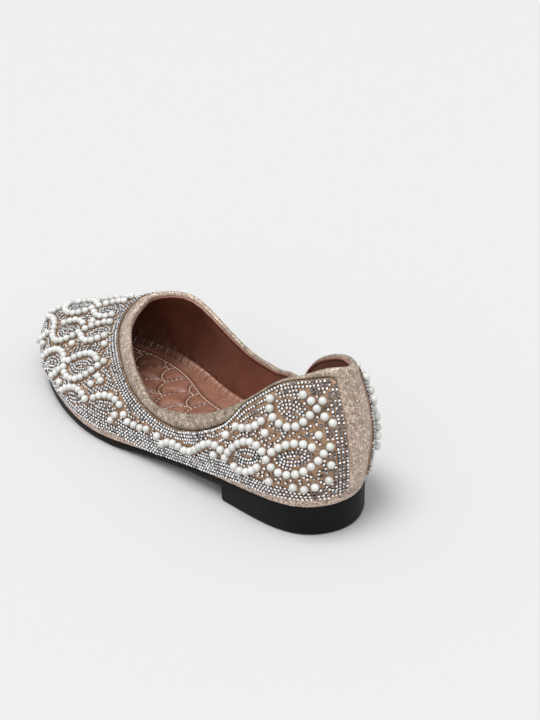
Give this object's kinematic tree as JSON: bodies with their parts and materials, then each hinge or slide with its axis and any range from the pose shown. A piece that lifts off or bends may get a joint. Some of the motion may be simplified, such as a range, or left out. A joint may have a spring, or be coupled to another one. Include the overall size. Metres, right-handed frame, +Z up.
{
  "type": "ballet flat",
  "caption": "Left ballet flat with a beaded vamp and quarters, a rounded fabric top band, a quilted leather sock and a low black rubber heel, standing empty on its sole.",
  "frame": {"origin": "on the floor, under the middle of the shoe's box", "axes": "+Z up, the toe points to -Y and the heel to +Y, +X is the outer side of this left shoe"},
  "size_m": [0.085, 0.2398, 0.0809],
  "materials": {
    "metallic_fabric": "champagne cloth with a fine glitter",
    "beading": "glossy white pearls and clear faceted stones on a tan backing",
    "sock_leather": "soft satin, rosy brown",
    "sole_rubber": "matte black"
  },
  "bodies": {
    "root": {"upper": "metallic_fabric", "beaded_overlay": "beading", "insole": "sock_leather", "outsole": "sole_rubber"}
  },
  "joints": []
}
